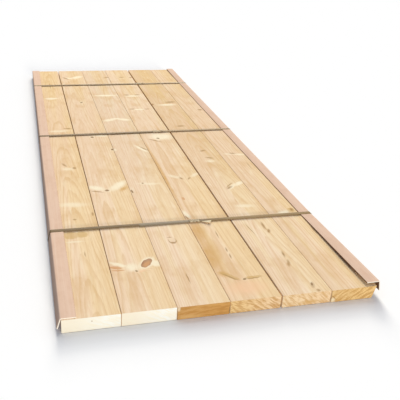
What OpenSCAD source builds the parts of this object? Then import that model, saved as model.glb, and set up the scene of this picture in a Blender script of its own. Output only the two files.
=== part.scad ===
// Bundle of planed pine boards: one layer, side by side, held by three taut straps.
// A folded paperboard angle guards each long top edge under the straps.
// X runs across the boards from left to right, Y along them from the near end, Z up.
// The origin is on the floor, under the middle of the bundle.

/* [Boards] */
// Width of one board
board_w = 140; // [120:1:240]
// How much wider than that each board is, from the left
width_more = [5, 0, 0, 0, 0, 0]; // [-5:0.5:5]
// Thickness of one board
board_t = 38; // [28:1:75]
// Length of the bundle, from the foremost near end to the furthest far end
board_l = 2440; // [1600:10:4800]
// Radius of the eased long edges
eased_r = 2; // [1:0.5:6]
// Clear gap at each seam's near end, from the left
seams = [1.2, 0.6, 0.8, 4.2, 0.6]; // [0.3:0.1:10]
// How much wider each seam is at the far end, where the boards fan out
seams_more = [3.6, 0.4, 0.4, 3, 0.4]; // [0:0.1:6]
// How far each board's near end stands back, from the left
near_back = [4, 4, 3, 3, 2, 0]; // [0:1:60]
// How far each board's far end stands back, from the left
far_back = [6, 5, 3, 1, 0, 2]; // [0:1:60]
// Width of the wane at the last board's lower outer near corner
wane_w = 16; // [4:1:30]
// Height of the wane
wane_h = 60; // [4:1:80]
// Length over which the wane runs out
wane_l = 260; // [50:10:300]

/* [Edge guards] */
// Thickness of the laminated paperboard
guard_t = 3; // [2:0.5:6]
// Width of the flange that lies on the boards
flange_w = 40; // [30:1:70]
// Height of the leg that hangs beside the boards
leg_h = 32; // [12:1:32]
// Gap between a leg and the side of its board
leg_fit = 0.3; // [0.1:0.1:1]
// How much tighter the inner bend is than the board's eased edge
bend_ease = 0.5; // [0.2:0.1:0.8]
// How far the left and right legs have sprung open at the near end, in degrees
near_splay = [17, 9]; // [0:1:40]
// How far the left and right legs have sprung open at the far end, in degrees
far_splay = [0, 4]; // [0:1:40]
// How far the left and right guards' near ends stand back
guard_near_back = [8, 2]; // [0:1:80]
// How far the guards' far ends stand back
guard_far_back = 2; // [0:1:80]
// How far the right guard's near end has lifted
near_lift = 10; // [0:0.5:15]
// How far the right guard's far end has lifted
far_lift = 3; // [0:0.5:15]
// Tilt of the right guard's near end, outer edge up, in degrees
near_tilt = 0.5; // [0:0.5:8]

/* [Straps] */
// Width of a strap
strap_w = 16; // [9:1:32]
// Thickness of a strap
strap_t = 0.8; // [0.5:0.1:1.3]
// Distance of the near strap from the near end
near_strap_at = 436; // [320:1:600]
// Distance of the middle strap past mid-length
middle_strap_at = 68; // [-150:1:150]
// Distance of the far strap from the far end
far_strap_at = 334; // [250:1:600]
// Turn of the near, middle and far straps from square, in degrees
strap_skew = [-0.6, 0.2, 0.5]; // [-2:0.1:2]
// Length of the under end that each strap laps, near to far
lap_l = [164, 190, 260]; // [40:1:280]
// Turn of each under end, in degrees
lap_skew = 1.3; // [0:0.1:2]
// Length of the free tail past each seal, near to far
tail_l = [34, 12, 14]; // [6:1:40]
// How far each tail curls up, in degrees
tail_curl = [8, 20, 24]; // [5:1:60]
// How far each tail is turned aside towards the near end, in degrees
tail_turn = [34, 5, 3]; // [1:1:40]

/* [Seals] */
// Length of a crimped seal along its strap
seal_l = 32; // [20:1:45]
// Thickness of the seal's steel
seal_t = 0.6; // [0.4:0.1:1]
// Gap between a seal and the two strap ends in it
seal_fit = 0.15; // [0.1:0.05:0.25]
// Open slot between the seal's two folded lips
lip_gap = 5; // [2:0.5:7]
// Place of each seal right of mid-width, near to far
seal_at = [24, 83, 152]; // [-200:1:200]
// Distance between the two crimps of a seal
crimp_pitch = 13; // [10:0.5:16]
// Radius of a crimp's bite
crimp_r = 2.5; // [2:0.1:4]
// Depth of a crimp's bite
crimp_d = 1.8; // [1:0.1:2]

/* [Hidden] */
$fn = 48;

count = len(near_back);
straps = ["near", "middle", "far"];

function sum_to(list, n) = n <= 0 ? 0 : list[n - 1] + sum_to(list, n - 1);

// Width over the boards at the near end, and the heights of the layers
bundle_w = count * board_w + sum_to(width_more, count) + sum_to(seams, count - 1);
half_w = bundle_w / 2;
half_l = board_l / 2;
board_top = strap_t + board_t;
guard_top = board_top + guard_t;

// How far the right side of the last board has fanned out at a place along the bundle
function fan(y) = sum_to(seams_more, count - 1) * (y + half_l) / board_l;

// Bend of the guards: inner and outer radius, and its centre on the left side
bend_r = eased_r - bend_ease;
bend_out_r = bend_r + guard_t;
bend_x = -half_w - leg_fit + bend_r;
bend_z = board_top - bend_r;
bend_steps = 5;

// Straps' places along the bundle, near to far
strap_y = [-half_l + near_strap_at, middle_strap_at, half_l - far_strap_at];

// Straight stub of each tail before it turns aside, and its rise off the crossing below
tail_stub = [for (turn = tail_turn) strap_w / 2 * sin(turn) + strap_t];
tail_rise = strap_t / 4;

// How far the layers of one strap run into each other, which makes them one solid
weld = strap_t / 10;

// Ends of the guards, the near ones left and right, and where the outer straps begin to hold them down
guard_near_y = [for (back = guard_near_back) -half_l + back];
guard_far_y = half_l - guard_far_back;
hold_reach = strap_w / 2 + half_w * sin(max([for (s = strap_skew) abs(s)]));
hold_near_y = strap_y[0] - hold_reach;
hold_far_y = strap_y[2] + hold_reach;
lift_steps = 12;
span_steps = 16;
lift_power = 0.8;

// Opening of the left (0) or right (1) leg at a place along the bundle, in degrees
function splay(hand, y) = near_splay[hand] + (far_splay[hand] - near_splay[hand])
    * (y - guard_near_y[hand]) / (guard_far_y - guard_near_y[hand]);

// Share of the lift at a place past the strap that holds the guard down
function loose(y, hold, end) = pow(max(0, (y - hold) / (end - hold)), lift_power);

// Unit vectors of a sprung leg on the left side: away from it, and down along it
function leg_out(angle) = [-cos(angle), sin(angle)];
function leg_down(angle) = [-sin(angle), -cos(angle)];

// Outer corner of a leg's lower edge on the left side
function leg_tip(angle) =
    [bend_x, bend_z] + bend_out_r * leg_out(angle) + (leg_h - bend_out_r) * leg_down(angle);

// How far a leg reaches out from the near end's middle where it stands out most
function leg_reach(hand) =
    max(-leg_tip(near_splay[hand])[0], hand * fan(half_l) - leg_tip(far_splay[hand])[0]);

// Shift of all the pieces that puts the middle between the two legs over the origin
middle_x = (leg_reach(0) - leg_reach(1)) / 2;

// Points of one skin of a guard's section, from the flange's edge round the bend to the leg's edge
function guard_skin(r, angle) = concat(
    [[-half_w - leg_fit - guard_t + flange_w, bend_z + r]],
    [for (k = [0 : bend_steps]) let (a = 90 + k * (90 - angle) / bend_steps)
        [bend_x + r * cos(a), bend_z + r * sin(a)]],
    [[bend_x, bend_z] + r * leg_out(angle) + (leg_h - bend_out_r) * leg_down(angle)]);

// A point of the section turned about the flange's lower edge, and raised
function raised(p, tilt, lift) =
    let (pivot = [-half_w - leg_fit - guard_t + flange_w, board_top], d = p - pivot)
    pivot + [d[0] * cos(tilt) + d[1] * sin(tilt), d[1] * cos(tilt) - d[0] * sin(tilt) + lift];

// Extra reach at each side of a strap that lies askew, so that its edge just meets the legs
function skew_room(angle) =
    (half_w + strap_w / 2 * abs(sin(angle))) / cos(angle) - half_w;

// What a strap is drawn tight around, in its own plane: the lower edges, the legs and the bends
module held_area(k) {
    room = skew_room(strap_skew[k]);
    shift = half_w * sin(strap_skew[k]);
    more = room + fan(strap_y[k] + shift + strap_w / 2);
    left = leg_tip(splay(0, strap_y[k] - shift - strap_w / 2));
    right = leg_tip(splay(1, strap_y[k] + shift - strap_w / 2));
    hull() {
        for (x = [eased_r - half_w - room, half_w - eased_r + more])
            translate([x, strap_t + eased_r])
                circle(eased_r);
        for (x = [bend_x - room, more - bend_x])
            translate([x, bend_z])
                circle(bend_out_r);
        polygon([[left[0] - room, left[1]], [more - right[0], right[1]], [0, board_top]]);
    }
}

// Draws in the plane of one strap, with the crossing's underside at z = 0
module on_strap(k) {
    translate([0, strap_y[k], guard_top])
        rotate([0, 0, strap_skew[k]])
            children();
}

// Extrudes a flat shape drawn in X and Z, centred on y = 0
module across(depth) {
    translate([0, depth / 2, 0])
        rotate([90, 0, 0])
            linear_extrude(depth)
                children();
}

// Rectangle with rounded corners, from the origin
module eased_rect(w, h, r) {
    translate([r, 0])
        square([w - 2 * r, h]);
    translate([0, r])
        square([w, h - 2 * r]);
    for (x = [r, w - r], y = [r, h - r])
        translate([x, y])
            circle(r);
}

// Bites of the crimping tool, through the seal and both strap ends
module crimps(k) {
    bite_h = 2 * strap_t + 2 * (seal_t + seal_fit) + 2 * seal_t;
    bite_y = strap_w / 2 + seal_fit + seal_t + crimp_r - crimp_d;
    for (side = [-1, 1], step = [-0.5, 0.5])
        translate([seal_at[k] + step * crimp_pitch, side * bite_y, strap_t - bite_h / 2])
            cylinder(h = bite_h, r = crimp_r);
}

// Free end of a strap past its seal and stub: a strip turned aside that curls upwards
module tail(k) {
    curl_r = tail_l[k] * 180 / (PI * tail_curl[k]);
    reach = 2 * curl_r;
    translate([seal_at[k] + seal_l / 2 + tail_stub[k], 0, strap_t + tail_rise])
        rotate([0, 0, -tail_turn[k]])
            across(strap_w)
                intersection() {
                    translate([0, curl_r])
                        difference() {
                            circle(curl_r);
                            circle(curl_r - strap_t);
                        }
                    polygon([[0, curl_r], [0, -reach], [reach * sin(tail_curl[k]),
                        curl_r - reach * cos(tail_curl[k])]]);
                }
}

// Block whose top face slants off the corner at the origin, meeting each axis where the wane ends
module wane() {
    slope = [-1 / wane_w, 1 / wane_l, 1 / wane_h];
    steep = norm(slope);
    block = 2 * wane_l;
    rotate([0, acos(slope[2] / steep), atan2(slope[1], slope[0])])
        translate([-block / 2, -block / 2, 1 / steep - block])
            cube(block);
}

// One planed board, numbered from the left, lying on the straps' lower runs
module board(i) {
    length = board_l - near_back[i] - far_back[i];
    width = board_w + width_more[i];
    x = -half_w + i * board_w + sum_to(width_more, i) + sum_to(seams, i);
    color([0.93, 0.82, 0.66])
        translate([x + width / 2, -half_l + near_back[i], strap_t])
            rotate([0, 0, -atan(sum_to(seams_more, i) / board_l)])
                difference() {
                    translate([-width / 2, length, 0])
                        rotate([90, 0, 0])
                            linear_extrude(length)
                                eased_rect(width, board_t, eased_r);
                    if (i == count - 1)
                        translate([width / 2, 0, 0])
                            wane();
                }
}

// The left (0) or right (1) edge guard as a loft of its section; only the right one has lifted
module edge_guard(hand) {
    side = 2 * hand - 1;
    near_y = guard_near_y[hand];
    stations = concat(
        [for (k = [0 : lift_steps - 1]) near_y + (hold_near_y - near_y) * k / lift_steps],
        [for (k = [0 : span_steps - 1]) hold_near_y + (hold_far_y - hold_near_y) * k / span_steps],
        [for (k = [0 : lift_steps]) hold_far_y + (guard_far_y - hold_far_y) * k / lift_steps]);
    rows = [for (y = stations)
        let (near = hand * loose(y, hold_near_y, near_y),
            lift = near * near_lift + hand * far_lift * loose(y, hold_far_y, guard_far_y),
            angle = splay(hand, y),
            skin = concat(guard_skin(bend_out_r, angle), guard_skin(bend_r, angle)))
        [for (p = skin) let (q = raised(p, near * near_tilt, lift))
            [hand * fan(y) - side * q[0], y, q[1]]]];
    ring = len(rows[0]);
    half = ring / 2;
    strip = [for (k = [0 : half - 2]) [k, k + 1, half + k + 1, half + k]];
    outline = concat([for (k = [0 : half - 1]) k], [for (k = [half - 1 : -1 : 0]) half + k]);
    last = len(rows) - 1;
    quads = concat(
        [for (q = strip) [q[3], q[2], q[1], q[0]]],
        [for (q = strip) [for (p = q) last * ring + p]],
        [for (s = [0 : last - 1], k = [0 : ring - 1])
            let (a = outline[k], b = outline[(k + 1) % ring])
            [s * ring + a, s * ring + b, (s + 1) * ring + b, (s + 1) * ring + a]]);
    triangles = [for (q = quads) each [[q[0], q[1], q[2]], [q[0], q[2], q[3]]]];
    color([0.90, 0.78, 0.68])
        polyhedron(
            [for (row = rows) each row],
            [for (t = triangles) side > 0 ? t : [t[2], t[1], t[0]]]);
}

// One strap: the taut loop, its under end and its tail, bitten by the crimps
module strap(k) {
    lap_end = seal_at[k] - seal_l / 2 - seal_t;
    color([0.45, 0.37, 0.24])
        on_strap(k)
            difference() {
                union() {
                    translate([0, 0, -guard_top])
                        across(strap_w)
                            difference() {
                                offset(r = strap_t)
                                    held_area(k);
                                held_area(k);
                            }
                    translate([lap_end, 0, -strap_t])
                        rotate([0, 0, lap_skew])
                            translate([-lap_l[k], -strap_w / 2, 0])
                                cube([lap_l[k], strap_w, strap_t + weld]);
                    translate([seal_at[k] - seal_l / 2, -strap_w / 2, strap_t - weld])
                        cube([seal_l + tail_stub[k], strap_w, strap_t + weld]);
                    tail(k);
                }
                crimps(k);
            }
}

// One steel seal: a sleeve folded round both strap ends, open between its lips below, and crimped
module seal(k) {
    in_w = strap_w + 2 * seal_fit;
    in_h = 2 * strap_t + 2 * seal_fit;
    out_w = in_w + 2 * seal_t;
    out_h = in_h + 2 * seal_t;
    color([0.72, 0.72, 0.70])
        on_strap(k)
            difference() {
                translate([seal_at[k] - seal_l / 2, -out_w / 2, -seal_fit - seal_t])
                    rotate([90, 0, 90])
                        linear_extrude(seal_l)
                            difference() {
                                eased_rect(out_w, out_h, seal_t);
                                translate([seal_t, seal_t])
                                    square([in_w, in_h]);
                                translate([(out_w - lip_gap) / 2, -seal_t])
                                    square([lip_gap, 3 * seal_t]);
                            }
                crimps(k);
            }
}

// Sets a piece in the bundle's frame
module framed() {
    translate([middle_x, 0, 0])
        children();
}

for (i = [0 : count - 1])
    framed() board(i);
framed() edge_guard(0);  // edge_guard_left
framed() edge_guard(1);  // edge_guard_right
for (k = [0 : len(straps) - 1])
    framed() strap(k);
for (k = [0 : len(straps) - 1])
    framed() seal(k);
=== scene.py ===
"""A flat bundle of pale pine boards, strapped over folded paperboard guards, on a white studio floor."""

import math
from collections import namedtuple

import bmesh
import bpy
from mathutils import Matrix, Vector


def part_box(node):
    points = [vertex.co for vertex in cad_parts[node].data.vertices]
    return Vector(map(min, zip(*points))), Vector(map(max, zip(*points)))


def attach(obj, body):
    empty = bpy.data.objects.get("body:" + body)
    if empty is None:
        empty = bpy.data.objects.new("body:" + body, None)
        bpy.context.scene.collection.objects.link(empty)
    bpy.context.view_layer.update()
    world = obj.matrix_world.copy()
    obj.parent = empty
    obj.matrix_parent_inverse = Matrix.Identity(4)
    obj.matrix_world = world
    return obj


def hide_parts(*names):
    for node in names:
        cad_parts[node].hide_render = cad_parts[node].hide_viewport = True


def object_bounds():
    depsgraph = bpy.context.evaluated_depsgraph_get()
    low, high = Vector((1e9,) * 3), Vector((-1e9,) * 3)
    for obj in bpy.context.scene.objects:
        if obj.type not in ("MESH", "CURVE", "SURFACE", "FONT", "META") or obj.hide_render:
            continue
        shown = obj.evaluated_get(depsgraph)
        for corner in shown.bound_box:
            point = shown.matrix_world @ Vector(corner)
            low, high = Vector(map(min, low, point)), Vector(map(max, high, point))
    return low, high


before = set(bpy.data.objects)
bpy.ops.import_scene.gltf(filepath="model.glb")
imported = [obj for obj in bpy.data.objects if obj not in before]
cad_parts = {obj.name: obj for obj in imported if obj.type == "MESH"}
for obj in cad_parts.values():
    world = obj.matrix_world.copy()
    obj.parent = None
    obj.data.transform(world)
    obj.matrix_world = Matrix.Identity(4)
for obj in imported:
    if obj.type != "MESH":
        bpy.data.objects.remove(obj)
cad_low, cad_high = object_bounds()

MM = 0.001
BUNDLE_LONG = cad_high[1] - cad_low[1]
BOARDS = [f"board_{i}" for i in range(1, 7)]
GUARDS = ["edge_guard_left", "edge_guard_right"]
STRAPS = ["strap_near", "strap_middle", "strap_far"]
SEALS = ["seal_near", "seal_middle", "seal_far"]


def paint(red, green, blue):
    """A colour read off a screen, 0 to 255 a channel, as the linear colour that shaders take."""

    def linear(channel):
        share = channel / 255
        return share / 12.92 if share <= 0.04045 else ((share + 0.055) / 1.055) ** 2.4

    return (linear(red), linear(green), linear(blue), 1.0)


class Wire:
    """A shader socket that takes part in sums: each operator adds one Math node."""

    def __init__(self, wiring, socket):
        self.wiring = wiring
        self.socket = socket

    def sum(self, operation, *terms):
        return self.wiring.node("ShaderNodeMath", {"operation": operation}, dict(enumerate(terms)))

    def __add__(self, other):
        return self.sum("ADD", self, other)

    def __radd__(self, other):
        return self.sum("ADD", other, self)

    def __sub__(self, other):
        return self.sum("SUBTRACT", self, other)

    def __rsub__(self, other):
        return self.sum("SUBTRACT", other, self)

    def __mul__(self, other):
        return self.sum("MULTIPLY", self, other)

    def __rmul__(self, other):
        return self.sum("MULTIPLY", other, self)

    def __truediv__(self, other):
        return self.sum("DIVIDE", self, other)

    def __abs__(self):
        return self.sum("ABSOLUTE", self)

    def least(self, other):
        return self.sum("MINIMUM", self, other)

    def most(self, other):
        return self.sum("MAXIMUM", self, other)

    def whole(self):
        return self.sum("FLOOR", self)

    def rest(self):
        return self.sum("FRACT", self)


# A Mix node's sockets for colours: the share, both colours and the result
MIX_SHARE, MIX_FIRST, MIX_SECOND, MIX_RESULT = 0, 6, 7, 2


class Wiring:
    """Adds nodes to one node tree and joins them up."""

    def __init__(self, tree):
        self.tree = tree
        tree.nodes.clear()

    def node(self, kind, settings=None, inputs=None, out=0):
        made = self.tree.nodes.new(kind)
        for name, value in (settings or {}).items():
            setattr(made, name, value)
        for name, value in (inputs or {}).items():
            self.plug(value, made.inputs[name])
        return Wire(self, made.outputs[out]) if made.outputs else None

    def plug(self, value, socket):
        if isinstance(value, Wire):
            self.tree.links.new(value.socket, socket)
        else:
            socket.default_value = value

    def vector(self, operation, first, second):
        return self.node("ShaderNodeVectorMath", {"operation": operation}, {0: first, 1: second})

    def length(self, vector):
        return self.node("ShaderNodeVectorMath", {"operation": "LENGTH"}, {0: vector}, out="Value")

    def part(self, vector, axis):
        return self.node("ShaderNodeSeparateXYZ", inputs={0: vector}, out=axis)

    def smooth(self, value, low, high):
        """0 at low, 1 at high, with an eased step between them; low may be the larger one."""
        span = {"Value": value, "From Min": low, "From Max": high}
        return self.node("ShaderNodeMapRange", {"interpolation_type": "SMOOTHSTEP"}, span)

    def noise(self, place, stretch, detail=2.0, roughness=0.5, out="Fac"):
        """Cloudy noise, 0 to 1, with stretch lumps a metre along each axis."""
        lumps = self.vector("MULTIPLY", place, stretch)
        inputs = {"Vector": lumps, "Scale": 1.0, "Detail": detail, "Roughness": roughness}
        return self.node("ShaderNodeTexNoise", inputs=inputs, out=out)

    def shake(self, place, stretch, reach, detail=2.0):
        """The place pushed about by cloudy noise, by up to about half of reach on each axis."""
        cloud = self.noise(place, stretch, detail, out="Color")
        push = self.vector("MULTIPLY", self.vector("SUBTRACT", cloud, (0.5, 0.5, 0.5)), reach)
        return self.vector("ADD", place, push)

    def seated(self, place, at=(0.0, 0.0, 0.0), turn=0.0, size=(1.0, 1.0, 1.0)):
        """The place as measured from a spot, turned there about Z by radians, in steps of a size."""
        seat = {"Vector": place, "Location": at, "Rotation": (0.0, 0.0, turn), "Scale": size}
        return self.node("ShaderNodeMapping", {"vector_type": "TEXTURE"}, seat)

    def mix(self, share, first, second):
        """The first colour where share is 0, the second where it is 1."""
        colours = {MIX_SHARE: share, MIX_FIRST: first, MIX_SECOND: second}
        return self.node("ShaderNodeMix", {"data_type": "RGBA"}, colours, out=MIX_RESULT)

    def layered(self, colour, *layers):
        """The colour under tints, each with its strength, its pattern and where that starts and is full."""
        for tint, strength, pattern, start, full in layers:
            colour = self.mix(self.smooth(pattern, start, full) * strength, colour, tint)
        return colour


# How far a face has to look along the bundle to begin to count as an end, and to count in full
END_FACING = (0.6, 0.9)


class Finish(Wiring):
    """A material with one Principled shader, whose steady values are given once."""

    def __init__(self, name, **steady):
        self.material = bpy.data.materials.new(name)
        self.material.use_nodes = True
        super().__init__(self.material.node_tree)
        self.shader = self.tree.nodes.new("ShaderNodeBsdfPrincipled")
        for words, value in steady.items():
            self.shader.inputs[words.replace("_", " ")].default_value = value
        self.node("ShaderNodeOutputMaterial", inputs={"Surface": Wire(self, self.shader.outputs[0])})

    def place(self):
        return self.node("ShaderNodeTexCoord", out="Object")

    def normal(self):
        return self.node("ShaderNodeNewGeometry", out="Normal")

    def on_ends(self):
        """1 on the sawn and cut ends, which face along the bundle, and 0 on the other faces."""
        return self.smooth(abs(self.part(self.normal(), "Y")), *END_FACING)

    def give(self, **varying):
        for words, value in varying.items():
            self.plug(value, self.shader.inputs[words.replace("_", " ")])

    def relief(self, height, depth):
        """Bumps of the given depth in metres, where height runs from 0 to 1."""
        bump = self.node("ShaderNodeBump", inputs={"Height": height, "Distance": depth, "Strength": 1.0})
        self.give(Normal=bump)


# Pine: each board has its own place in the log, its own tone and its own knots

LATE_WOOD = paint(224, 184, 132)
PINK_WOOD = paint(245, 215, 188)
HONEY_WOOD = paint(240, 209, 158)
HEART_WOOD = paint(232, 190, 134)
PALE_WOOD = paint(255, 241, 210)
BLUSH_WOOD = paint(250, 208, 168)
RUSTY_WOOD = paint(221, 178, 118)
DULL_WOOD = paint(216, 179, 119)
SPIKE_WOOD = paint(222, 168, 122)
BROWN_LINE = paint(170, 130, 84)
LIVE_KNOT = paint(216, 166, 120)
KNOT_RIM = paint(160, 100, 58)
DEAD_KNOT = paint(146, 112, 74)
EYE_WOOD = paint(246, 220, 186)
# Painted shade on a sawn end along its joint with the next board
JOINT_SHADE = paint(112, 84, 54)

PLANK_FACTS = "pith ring fan taper saw tone far_tone end_left end_right end_ring stains figure"
Plank = namedtuple("Plank", PLANK_FACTS)

# In millimetres, the pith is where the log's heart lies, across and up from the board's middle, ring is
# the breadth of a year's growth, and fan is how far the board's far end lies right of its near end.
# The taper is how fast the rings narrow along the log, and saw is the turn of the streaks on the sawn
# ends, in degrees.
# A mark of the figure: kind, then in millimetres its place across from the board's middle line and
# along from the bundle's middle, its half width across and half length along, and its turn in degrees.
# Marks run from the far end to the near one. A stain of the sawn ends, or its painted shade along a joint,
# is the same as a mark, with heights from mid-thickness in place of lengths along.
PLANKS = {
    "board_1": Plank(
        pith=(12, -62), ring=4.5, fan=0, taper=0.03, saw=-20,
        tone=paint(255, 231, 194), far_tone=paint(246, 218, 174),
        end_left=paint(253, 243, 221), end_right=paint(255, 255, 247), end_ring=paint(254, 246, 225),
        stains=[("line", 1, 7, 2, 2, 0)],
        figure=[
            ("line", 10, 880, 3, 60, 0), ("white", 5, 635, 34, 18, 0), ("line", 50, 160, 20, 9, -12),
            ("pale", 10, 130, 46, 14, 0), ("line", 5, -260, 6, 20, 20), ("line", 40, -295, 8, 11, 0),
            ("pale", 15, -300, 20, 14, -12), ("pale", 5, -605, 48, 17, -6), ("line", 65, -680, 4, 16, 0),
            ("line", 5, -710, 7, 6, 30), ("patch", -15, -810, 26, 26, 0), ("patch", 15, -810, 22, 20, 0),
            ("pale", -10, -850, 28, 5, -3), ("line", 15, -925, 2, 16, 0),
        ],
    ),
    "board_2": Plank(
        pith=(-30, -105), ring=4.5, fan=3.6, taper=0.012, saw=-25,
        tone=paint(255, 232, 198), far_tone=paint(245, 221, 187),
        end_left=paint(255, 243, 221), end_right=paint(255, 255, 249), end_ring=paint(254, 246, 224),
        stains=[],
        figure=[
            ("white", 25, 1060, 44, 22, 42), ("line", -40, 1040, 30, 9, -60),
            ("white", -20, 1040, 26, 12, -40), ("dead", 5, 555, 7, 11, 0), ("pale", 40, 50, 30, 14, -6),
            ("dead", 0, 35, 8, 9, 0), ("dead", 65, -120, 6, 11, 0), ("white", 35, -475, 18, 54, -40),
            ("white", -45, -485, 32, 17, -38), ("rust", 50, -505, 12, 26, -40),
            ("dead", -10, -510, 8, 8, 15), ("line", -45, -515, 26, 5, -24),
            ("white", -45, -995, 28, 9, -33), ("rim", 35, -1000, 12, 25, -36),
            ("knot", 35, -1005, 11, 24, -36), ("white", 60, -1005, 15, 18, 30),
            ("spike", -55, -1010, 20, 7, -18), ("white", -10, -1015, 18, 20, -10),
            ("spike", -50, -1025, 20, 4, -6), ("dead", 0, -1035, 4, 4, 0),
            ("blush", 15, -1035, 12, 8, 17),
        ],
    ),
    "board_3": Plank(
        pith=(34, -84), ring=4.5, fan=4.0, taper=0.010, saw=6,
        tone=paint(255, 234, 203), far_tone=paint(241, 222, 194),
        end_left=paint(212, 166, 106), end_right=paint(214, 163, 96), end_ring=paint(195, 142, 79),
        stains=[
            ("pale", -66, 14, 4, 8, 0), ("rust", -40, -13, 28, 6, 0), ("seam", -70, 0, 2, 22, 0),
            ("seam", 70, 0, 2, 22, 0),
        ],
        figure=[
            ("line", 60, 1050, 26, 10, 30), ("white", 0, 670, 62, 16, 0), ("white", 0, 275, 32, 11, 0),
            ("white", -35, 260, 32, 16, 24), ("white", 35, 260, 32, 16, -24),
            ("white", 45, -125, 10, 47, 27), ("line", 55, -125, 5, 34, 27), ("pale", -65, -125, 8, 14, 0),
            ("line", -15, -470, 5, 7, 0), ("pale", 5, -475, 40, 10, -8), ("dead", -65, -530, 4, 16, 0),
            ("line", -10, -870, 8, 3, -12), ("eye", -5, -885, 11, 16, 0), ("ring", -5, -890, 12, 18, 0),
            ("line", -5, -900, 8, 5, 0), ("line", -10, -1095, 2, 26, 0),
        ],
    ),
    "board_4": Plank(
        pith=(-20, -90), ring=6.0, fan=4.4, taper=0.008, saw=-34,
        tone=paint(253, 227, 187), far_tone=paint(247, 226, 194),
        end_left=paint(241, 207, 150), end_right=paint(247, 216, 174), end_ring=paint(205, 159, 103),
        stains=[("seam", -70, 0, 1, 22, 0)],
        figure=[
            ("line", 5, 1045, 16, 10, -20), ("line", 60, 1035, 14, 10, 20),
            ("line", -25, 670, 15, 9, -20), ("line", 30, 670, 15, 9, 20), ("white", 5, 650, 40, 14, 0),
            ("line", -40, 420, 16, 8, 0), ("line", 35, 415, 14, 8, 0), ("white", -5, 410, 30, 12, 0),
            ("white", 15, 10, 48, 40, 0), ("dead", 0, -10, 8, 8, 0), ("line", -20, -35, 36, 5, -40),
            ("rust", -65, -400, 8, 330, 0), ("pale", 55, -420, 9, 26, -45),
            ("pale", -30, -425, 26, 11, -41), ("line", -5, -445, 6, 12, 21),
            ("line", 25, -450, 5, 12, -32), ("spike", -40, -615, 6, 11, 0),
            ("white", -60, -730, 8, 28, 8), ("line", -65, -755, 4, 16, 9), ("dead", -5, -805, 3, 5, 0),
            ("rust", -55, -850, 28, 100, -4), ("line", 0, -875, 2, 24, -5), ("line", 0, -970, 3, 14, -7),
            ("rust", -55, -985, 36, 110, -4), ("line", 0, -1005, 3, 14, -9),
            ("rust", -50, -1090, 18, 22, 43), ("patch", -35, -1105, 8, 34, 44),
            ("line", -35, -1110, 3, 30, 44), ("patch", 25, -1120, 30, 7, 7),
            ("line", 25, -1125, 28, 3, 7), ("dead", 0, -1125, 5, 4, 0), ("blush", -10, -1165, 58, 34, 0),
        ],
    ),
    "board_5": Plank(
        pith=(8, -58), ring=5.0, fan=7.4, taper=0.03, saw=-42,
        tone=paint(255, 235, 203), far_tone=paint(231, 203, 158),
        end_left=paint(250, 223, 183), end_right=paint(248, 218, 178), end_ring=paint(220, 178, 124),
        stains=[("rust", 10, -10, 28, 7, 0), ("seam", 70, 0, 1, 22, 0)],
        figure=[
            ("line", 35, 520, 32, 14, 0), ("line", -65, 490, 6, 14, 0), ("white", 5, 475, 48, 15, 0),
            ("line", -5, 140, 22, 10, 0), ("line", 10, -180, 16, 8, 20), ("line", 15, -260, 18, 8, -30),
            ("pale", 10, -295, 20, 12, 0), ("white", 50, -520, 28, 11, 40),
            ("line", 10, -530, 3, 28, -40), ("white", 20, -540, 9, 32, -40), ("line", 5, -550, 20, 7, 45),
            ("pale", 10, -700, 32, 12, -4), ("line", 20, -845, 5, 26, -6), ("line", 20, -855, 3, 20, 0),
            ("line", -30, -860, 2, 40, 6), ("line", 25, -880, 5, 16, -14), ("line", 15, -1020, 4, 18, -8),
            ("line", 10, -1070, 5, 20, -16), ("dead", 30, -1180, 3, 8, -12),
            ("line", 30, -1185, 6, 16, -16), ("line", 35, -1210, 6, 7, 0),
        ],
    ),
    "board_6": Plank(
        pith=(-75, -70), ring=6.5, fan=7.8, taper=0.007, saw=40,
        tone=paint(246, 222, 185), far_tone=paint(243, 219, 184),
        end_left=paint(240, 205, 148), end_right=paint(244, 206, 143), end_ring=paint(207, 160, 97),
        stains=[("pale", -64, -13, 7, 9, 0), ("line", -62, -3, 12, 2, -45), ("seam", -70, 0, 2, 22, 0)],
        figure=[
            ("line", 15, 375, 14, 12, 0), ("line", -15, -225, 16, 7, -16),
            ("pale", -35, -230, 22, 8, -10), ("pale", 10, -240, 26, 10, -16),
            ("line", 10, -360, 2, 36, 0), ("line", 20, -750, 7, 11, -22),
            ("patch", 15, -755, 13, 17, -22), ("white", -20, -770, 28, 13, 26),
            ("line", 30, -900, 2, 30, 0),
        ],
    ),
}

# How each kind of mark is laid over the wood, broad tints first and knots last, with painted joint shade on
# the
# sawn ends among them: kind, the reach where it begins to show and where it is full, its strength, and its
# colour
COATS = [
    ("rust", 1.4, 0.1, 0.85, RUSTY_WOOD),
    ("patch", 1.12, 0.7, 0.65, DULL_WOOD),
    ("blush", 1.5, 0.2, 0.75, BLUSH_WOOD),
    ("pale", 1.5, 0.3, 0.65, PALE_WOOD),
    ("white", 1.4, 0.4, 0.9, PALE_WOOD),
    ("ring", 1.15, 0.9, 0.6, BROWN_LINE),
    ("eye", 1.1, 0.8, 0.9, EYE_WOOD),
    ("line", 1.35, 0.2, 0.7, BROWN_LINE),
    ("spike", 1.15, 0.6, 0.8, SPIKE_WOOD),
    # Painted shade down a sawn end along its joint with the next board
    ("seam", 1.2, 0.5, 0.7, JOINT_SHADE),
    ("dead", 2.4, 1.0, 0.25, PALE_WOOD),
    ("dead", 1.25, 0.5, 0.85, DEAD_KNOT),
    ("rim", 1.9, 1.0, 0.8, PALE_WOOD),
    ("rim", 1.1, 0.95, 0.8, KNOT_RIM),
    ("knot", 1.05, 0.35, 0.95, LIVE_KNOT),
]
# A mark goes right through its board: its half height, in metres, is far more than the board's
MARK_DEPTH = 1.0


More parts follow.
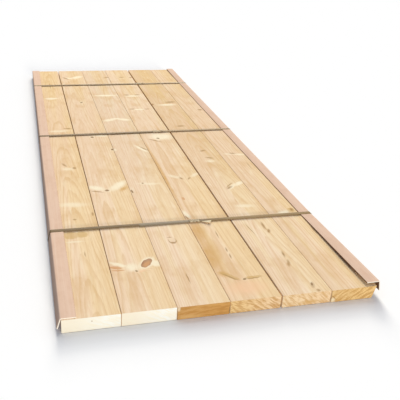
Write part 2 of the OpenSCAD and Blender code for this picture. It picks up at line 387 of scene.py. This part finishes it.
def reaches(wood, spot, marks):
    """How far the spot is from the nearest mark of each kind, where 1 is on that mark's edge."""
    found = {}
    for kind, across, along, half_width, half_length, turn in marks:
        at = (across * MM, along * MM, 0.0)
        size = (half_width * MM, half_length * MM, MARK_DEPTH)
        reach = wood.length(wood.seated(spot, at, math.radians(turn), size))
        found[kind] = reach.least(found[kind]) if kind in found else reach
    return found


def marked(wood, colour, near, strength):
    """The colour with the marks near it laid over, as strongly as the wood takes them there."""
    for kind, edge, core, share, tint in COATS:
        if kind in near:
            colour = wood.mix(wood.smooth(near[kind], edge, core) * strength * share, colour, tint)
    return colour


# Where along the bundle, in metres, a board's near tone begins to turn into its far tone, and has turned
TONE_TURNS = (-0.9, 0.1)
# Where across an end, in metres from the board's middle line, its left colour turns into its right one
END_TURNS = (-0.06, 0.05)
# The distances from the pith, in metres, at which heartwood begins to show and is full
HEART_REACH = (0.075, 0.045)
# How far rings wander, and how far a knot pushes them, from where its push begins to where it is full
RING_WANDER = 3 * MM
KNOT_PUSH = 10 * MM
KNOT_NEAR = (2.6, 0.4)
# The shares of a ring between which its late wood comes on, and between which it stops
LATE_COMES = (0.40, 0.90)
LATE_STOPS = (1.0, 0.93)
GRAIN_DEPTH = 0.1 * MM


def growth(wood, plank, place, near):
    """How far the place is from the log's pith, and how much it is late wood, 0 to 1."""
    grown = wood.shake(place, (10, 1.6, 10), (0.022, 0.0, 0.016))
    from_pith = wood.vector("SUBTRACT", grown, (plank.pith[0] * MM, 0.0, plank.pith[1] * MM))
    radius = wood.length(wood.vector("MULTIPLY", from_pith, (1.0, 0.0, 1.0)))
    wander = wood.noise(place, (45, 4, 45)) * RING_WANDER
    pushed = wood.smooth(near["knot"], *KNOT_NEAR) * KNOT_PUSH if "knot" in near else 0.0
    rings = (radius + wander + pushed + wood.part(place, "Y") * plank.taper) / (plank.ring * MM)
    share = rings.rest()
    vigour = wood.node("ShaderNodeTexWhiteNoise", {"noise_dimensions": "1D"}, {"W": rings.whole()})
    late = wood.smooth(share, *LATE_COMES) * wood.smooth(share, *LATE_STOPS) * (vigour * 0.7 + 0.3)
    return radius, late


def planed_face(wood, plank, place, radius, late, fibre):
    """The colour of the planed faces without their marks: broad tones first, then rings and fine grain."""
    streak = wood.noise(place, (150, 2.2, 150), detail=4.0, roughness=0.6)
    hair = wood.noise(place, (420, 5, 420))
    fleck = wood.noise(place, (120, 13, 120), detail=4.0, roughness=0.6)
    broad = wood.noise(place, (20, 0.9, 20))
    cloud = wood.noise(place, (14, 10, 14), detail=3.0)
    colour = wood.mix(wood.smooth(wood.part(place, "Y"), *TONE_TURNS), plank.tone, plank.far_tone)
    colour = wood.layered(
        colour,
        (PINK_WOOD, 0.55, broad, 0.62, 0.40),
        (HONEY_WOOD, 0.60, broad, 0.50, 0.70),
        (LATE_WOOD, 0.42, cloud, 0.48, 0.72),
        (HEART_WOOD, 0.20, radius, *HEART_REACH),
        (LATE_WOOD, 0.26, streak, 0.35, 0.70),
    )
    colour = wood.mix(late * 0.55, colour, LATE_WOOD)
    return wood.layered(
        colour,
        (LATE_WOOD, 0.50, hair, 0.56, 0.74),
        (LATE_WOOD, 0.25, fibre, 0.48, 0.75),
        (LATE_WOOD, 0.40, fleck, 0.54, 0.72),
        (PALE_WOOD, 0.35, fleck, 0.46, 0.28),
    )


def sawn_end(wood, plank, place, end_place, late):
    """The colour of the sawn ends before their stain marks and painted joint shade: slanting streaks, rings
    and blotches.
    """
    ruffled = wood.shake(end_place, (50, 50, 0), (0.007, 0.007, 0.0))
    along_saw = wood.seated(ruffled, turn=math.radians(plank.saw))
    sawn = wood.noise(along_saw, (28, 140, 0), detail=3.0)
    blotch = wood.noise(place, (60, 60, 90), detail=3.0)
    on_right = wood.smooth(wood.part(end_place, "X"), *END_TURNS)
    colour = wood.mix(on_right, plank.end_left, plank.end_right)
    colour = wood.layered(colour, (plank.end_ring, 0.9, sawn, 0.40, 0.62))
    colour = wood.mix(late * 0.35, colour, plank.end_ring)
    return wood.layered(colour, (plank.end_ring, 0.5, blotch, 0.52, 0.74))


def pine(node):
    """Planed pine: growth rings round the log's pith, fibre, knots, and sawn ends of their own tone."""
    plank = PLANKS[node]
    low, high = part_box(node)
    middle = (low + high) / 2
    lean = -math.atan(plank.fan * MM / BUNDLE_LONG)
    wood = Finish(f"pine_{node}", Specular_IOR_Level=0.0)
    place = wood.seated(wood.place(), (middle.x, 0.0, middle.z), lean)
    ragged = wood.shake(place, (60, 30, 60), (0.006, 0.012, 0.0), detail=4.0)
    patchy = wood.noise(place, (90, 40, 90)) * 0.8 + 0.6
    fibre = wood.noise(place, (800, 12, 800), detail=3.0)

    near = reaches(wood, ragged, plank.figure)
    radius, late = growth(wood, plank, place, near)
    face = planed_face(wood, plank, place, radius, late, fibre)
    face = marked(wood, face, near, patchy)

    across_and_up = {"X": wood.part(ragged, "X"), "Y": wood.part(place, "Z")}
    end_place = wood.node("ShaderNodeCombineXYZ", inputs=across_and_up)
    end = sawn_end(wood, plank, place, end_place, late)
    end = marked(wood, end, reaches(wood, end_place, plank.stains), patchy)

    colour = wood.mix(wood.on_ends(), face, end)
    wood.give(Base_Color=colour, Roughness=0.62 - 0.12 * late + 0.1 * fibre)
    wood.relief(fibre * 0.4 + late * 0.6, GRAIN_DEPTH)
    return wood.material


# Paperboard, strap and seal

KRAFT = paint(232, 199, 174)
KRAFT_FIBRE = paint(218, 180, 152)
KRAFT_SCUFF = paint(243, 220, 200)
KRAFT_CUT = paint(255, 244, 228)
# Darker inner plies, laid also as painted shade on the guard's inward and downward faces
KRAFT_INNER_SHADE = paint(150, 115, 85)
STRAP_PAINT = paint(118, 96, 64)
STRAP_WORN = paint(146, 123, 90)
STRAP_RUBBED = paint(172, 144, 102)
STRAP_GREY = paint(150, 137, 116)
# Unpainted steel of the tail, its paleness also a painted glint
STRAP_BARE_GLINT = paint(238, 219, 180)
SEAL_STEEL = paint(176, 159, 130)
SEAL_DULL = paint(140, 122, 96)
# Rubbed steel spots, whose pale colour is also a painted glint
SEAL_RUBBED_GLINT = paint(226, 216, 194)

KRAFT_DEPTH = 0.15 * MM
DRAWN_DEPTH = 0.06 * MM
BRUSHED_DEPTH = 0.05 * MM

# The straps' marks, in metres. Each pair is where a mark begins to show and where it is full: the rubbing
# across the bundle, the near or the far strap's own marks along it, and the tail's unpainted steel and
# painted glint by height and along it. The lap's values are its ends across the bundle and the fade at
# each.
RUBBED_ACROSS = (0.05, 0.17)
NEAR_STRAP = (-0.6, -0.7)
FAR_STRAP = (0.6, 0.8)
LAP_FROM, LAP_TO, LAP_FADE = -0.16, 0.0, 0.01
TAIL_RISES = (43.0 * MM, 43.4 * MM)
TAIL_NEARS = (-0.792, -0.796)


def paperboard():
    """Matte kraft: mottled fibre, lengthwise rolling streaks, darker inner plies, painted shade on inward
    and under faces, paler cut edges.
    """
    board = Finish("kraft_paperboard", Specular_IOR_Level=0.0)
    place = board.place()
    mottle = board.noise(place, (60, 25, 60), detail=4.0)
    streak = board.noise(place, (260, 3, 260))
    fibre = board.noise(place, (900, 500, 900), detail=3.0, roughness=0.7)
    colour = board.layered(
        KRAFT,
        (KRAFT_FIBRE, 0.35, mottle, 0.4, 0.7),
        (KRAFT_SCUFF, 0.30, streak, 0.4, 0.75),
        (KRAFT_FIBRE, 0.25, fibre, 0.5, 0.8),
    )
    # Faces turned in towards the bundle or down take the darker inner colour: real inner plies and painted
    # shade under the guard
    face = board.normal()
    turned_in = board.smooth(board.part(face, "X") * board.part(place, "X"), -0.1, -0.3)
    inside_shade = turned_in.most(board.smooth(board.part(face, "Z"), -0.5, -0.8))
    colour = board.mix(inside_shade, colour, KRAFT_INNER_SHADE)
    colour = board.mix(board.on_ends(), colour, KRAFT_CUT)
    board.give(Base_Color=colour, Roughness=0.78 + 0.12 * fibre)
    board.relief(fibre, KRAFT_DEPTH)
    return board.material


def strapping():
    """Semi-gloss painted steel band: drawn, worn and rubbed, a greyed lap, and an unpainted tail with a
    painted glint.
    """
    band = Finish("bronze_strapping", Specular_IOR_Level=0.05)
    place = band.place()
    across, along, up = [band.part(place, axis) for axis in "XYZ"]
    drawn = band.noise(place, (6, 1400, 900))
    patch = band.noise(place, (22, 60, 60), detail=3.0)
    worn = [(STRAP_WORN, 0.5, patch, 0.48, 0.75), (STRAP_WORN, 0.25, drawn, 0.5, 0.8)]
    colour = band.layered(STRAP_PAINT, *worn)
    rubbed = band.smooth(across, *RUBBED_ACROSS).most(band.smooth(along, *FAR_STRAP) * 0.7)
    colour = band.mix(rubbed * 0.55, colour, STRAP_RUBBED)
    on_near = band.smooth(along, *NEAR_STRAP)
    lap = band.smooth(across, LAP_FROM, LAP_FROM + LAP_FADE)
    lap = lap * band.smooth(across, LAP_TO + LAP_FADE, LAP_TO)
    colour = band.mix(lap * on_near * 0.7, colour, STRAP_GREY)
    # The tail is paler where it rises: unpainted steel, and a painted glint where it turns up to the light
    bare_glint = band.smooth(up, *TAIL_RISES) * on_near * band.smooth(along, *TAIL_NEARS)
    colour = band.mix(bare_glint * 0.8, colour, STRAP_BARE_GLINT)
    band.give(Base_Color=colour, Roughness=0.42 + 0.2 * patch)
    band.relief(drawn, DRAWN_DEPTH)
    return band.material


def crimped_steel():
    """Worn pressed steel: brushed across the strap, dull in smears, and rubbed in spots painted pale as
    glints.
    """
    steel = Finish("crimped_steel", Specular_IOR_Level=0.05)
    place = steel.place()
    brushed = steel.noise(place, (1500, 40, 900))
    smear = steel.noise(place, (160, 160, 160), detail=3.0)
    rubbed = steel.noise(place, (420, 420, 420))
    colour = steel.mix(steel.smooth(smear, 0.45, 0.7) * 0.6, SEAL_STEEL, SEAL_DULL)
    # Rubbed spots: a little metallic, and paler as a painted glint
    rubbed_glint = steel.smooth(rubbed, 0.56, 0.66)
    colour = steel.mix(rubbed_glint * 0.8, colour, SEAL_RUBBED_GLINT)
    steel.give(Base_Color=colour, Metallic=rubbed_glint * 0.3, Roughness=0.62 + 0.2 * brushed)
    steel.relief(brushed, BRUSHED_DEPTH)
    return steel.material


# Pieces: each is a copy of its solid with softened edges

BOARD_EDGE = 0.6 * MM
GUARD_EDGE = 0.4 * MM
STRAP_EDGE = 0.12 * MM
SEAL_EDGE = 0.08 * MM
EDGE_STEPS = 2
MERGE_WITHIN = 0.001 * MM
# In degrees: faces turned by less than this are one face, edges sharper than this are softened, and
# shading runs smoothly over edges flatter than this
FLAT_WITHIN = 0.5
SOFTEN_ABOVE = 50
SMOOTH_BELOW = 40


def add_piece(name, form, finish, node):
    """Makes the shaped bmesh a piece of the bundle that stands for one CAD node."""
    mesh = bpy.data.meshes.new(name)
    form.to_mesh(mesh)
    form.free()
    mesh.shade_smooth()
    mesh.set_sharp_from_angle(angle=math.radians(SMOOTH_BELOW))
    mesh.materials.append(finish)
    piece = bpy.data.objects.new(name, mesh)
    bpy.context.scene.collection.objects.link(piece)
    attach(piece, "root")
    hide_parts(node)


def make_copy(node, name, finish, soften):
    """The CAD node's own form, merged to one skin, with its sharp edges softened."""
    form = bmesh.new()
    form.from_mesh(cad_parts[node].data)
    bmesh.ops.remove_doubles(form, verts=form.verts, dist=MERGE_WITHIN)
    flat = math.radians(FLAT_WITHIN)
    bmesh.ops.dissolve_limit(form, angle_limit=flat, verts=form.verts, edges=form.edges)
    limit = math.radians(SOFTEN_ABOVE)
    sharp = [edge for edge in form.edges if edge.is_manifold and edge.calc_face_angle() > limit]
    bmesh.ops.bevel(
        form, geom=sharp, offset=soften, segments=EDGE_STEPS, profile=0.5, affect="EDGES", material=-1
    )
    add_piece(name, form, finish, node)


for board_node in BOARDS:
    make_copy(board_node, f"pine_{board_node}", pine(board_node), BOARD_EDGE)

kraft = paperboard()
for guard_node in GUARDS:
    make_copy(guard_node, f"kraft_{guard_node}", kraft, GUARD_EDGE)

strap_finish = strapping()
for strap_node in STRAPS:
    make_copy(strap_node, f"tight_{strap_node}", strap_finish, STRAP_EDGE)

seal_finish = crimped_steel()
for seal_node in SEALS:
    make_copy(seal_node, f"crimped_{seal_node}", seal_finish, SEAL_EDGE)


# Studio: white floor, even ambient light, a tall soft window behind the bundle and a low front fill

FLOOR_HALF = 20.0
WHITE = (1.0, 1.0, 1.0, 1.0)
FLOOR_BOUNCE = (0.30, 0.30, 0.31, 1.0)
AMBIENT = 0.35
AMBIENT_TINT = (0.87, 0.96, 1.17, 1.0)
LAMP_TINT = (1.070, 1.022, 0.908)
# How far right the window stands for each metre back, and each pane's climb in degrees and its level
WINDOW_SIDE = 0.2
WINDOW_PANES = [(21, 0.15), (31, 0.14), (45, 0.13), (65, 0.15)]
WINDOW_SPREAD = 20
FILL_FROM = (0.1, -1.0, 0.12)
FILL_LEVEL = 0.08
FILL_SPREAD = 8


def seen_plainly(wiring):
    """1 where the eye, a reflection or clear material looks, 0 for light on its way round the studio."""
    seen = wiring.node("ShaderNodeLightPath", out="Is Camera Ray")
    for way in ("Is Glossy Ray", "Is Transmission Ray"):
        seen = seen.most(wiring.node("ShaderNodeLightPath", out=way))
    return seen


def make_floor():
    """White to the eye and in reflections, but sending less light back up than a white sheet would."""
    floor = Finish("white_floor", Roughness=1.0, Specular_IOR_Level=0.0)
    floor.give(Base_Color=floor.mix(seen_plainly(floor), FLOOR_BOUNCE, WHITE))
    form = bmesh.new()
    bmesh.ops.create_grid(form, x_segments=1, y_segments=1, size=FLOOR_HALF)
    mesh = bpy.data.meshes.new("studio_floor")
    form.to_mesh(mesh)
    form.free()
    mesh.materials.append(floor.material)
    sheet = bpy.data.objects.new("studio_floor", mesh)
    bpy.context.scene.collection.objects.link(sheet)


def make_world():
    """Even light of the ambient level on the bundle, plain white to the eye and in reflections."""
    world = bpy.data.worlds.new("studio_white")
    bpy.context.scene.world = world
    world.use_nodes = True
    sky = Wiring(world.node_tree)
    seen = seen_plainly(sky)
    tint = sky.mix(seen, AMBIENT_TINT, WHITE)
    light = {"Color": tint, "Strength": AMBIENT + (1 - AMBIENT) * seen}
    sky.node("ShaderNodeOutputWorld", inputs={"Surface": sky.node("ShaderNodeBackground", inputs=light)})


def make_lamp(name, source, level, spread):
    """A broad far lamp; level is the share of full white that it alone gives a flat white floor."""
    towards = Vector(source).normalized()
    lamp = bpy.data.lights.new(name, "SUN")
    lamp.energy = level * math.pi / towards.z
    lamp.angle = math.radians(spread)
    lamp.color = LAMP_TINT
    holder = bpy.data.objects.new(name, lamp)
    holder.rotation_euler = (-towards).to_track_quat("-Z", "Y").to_euler()
    bpy.context.scene.collection.objects.link(holder)


# Camera at the photo's viewing angle

CAMERA_AT = (-0.4771, -2.3893, 0.9311)
CAMERA_TURN = 15.40
CAMERA_DIP = 24.01
CAMERA_ROLL = 2.99
CAMERA_LENS = 53.21
CAMERA_SHIFT = (0.0527, -0.0502)
CAMERA_CLIP = (0.05, 100.0)


def make_camera():
    """A camera that is turned to the right, dipped and then rolled, all in degrees."""
    turn, dip = math.radians(CAMERA_TURN), math.radians(CAMERA_DIP)
    ahead = Vector((math.sin(turn) * math.cos(dip), math.cos(turn) * math.cos(dip), -math.sin(dip)))
    right = Vector((math.cos(turn), -math.sin(turn), 0.0))
    upright = Matrix((right, right.cross(ahead), -ahead)).transposed()
    camera = bpy.data.cameras.new("photo_camera")
    camera.lens = CAMERA_LENS
    camera.shift_x, camera.shift_y = CAMERA_SHIFT
    camera.clip_start, camera.clip_end = CAMERA_CLIP
    holder = bpy.data.objects.new("photo_camera", camera)
    rolled = upright @ Matrix.Rotation(math.radians(CAMERA_ROLL), 3, "Z")
    holder.matrix_world = Matrix.Translation(CAMERA_AT) @ rolled.to_4x4()
    bpy.context.scene.collection.objects.link(holder)
    bpy.context.scene.camera = holder


make_floor()
make_world()
for climb, pane_level in WINDOW_PANES:
    pane_from = (WINDOW_SIDE, 1.0, math.tan(math.radians(climb)))
    make_lamp(f"window_{climb}_degrees_up", pane_from, pane_level, WINDOW_SPREAD)
make_lamp("front_fill", FILL_FROM, FILL_LEVEL, FILL_SPREAD)
make_camera()
bpy.context.scene.view_settings.view_transform = "Standard"
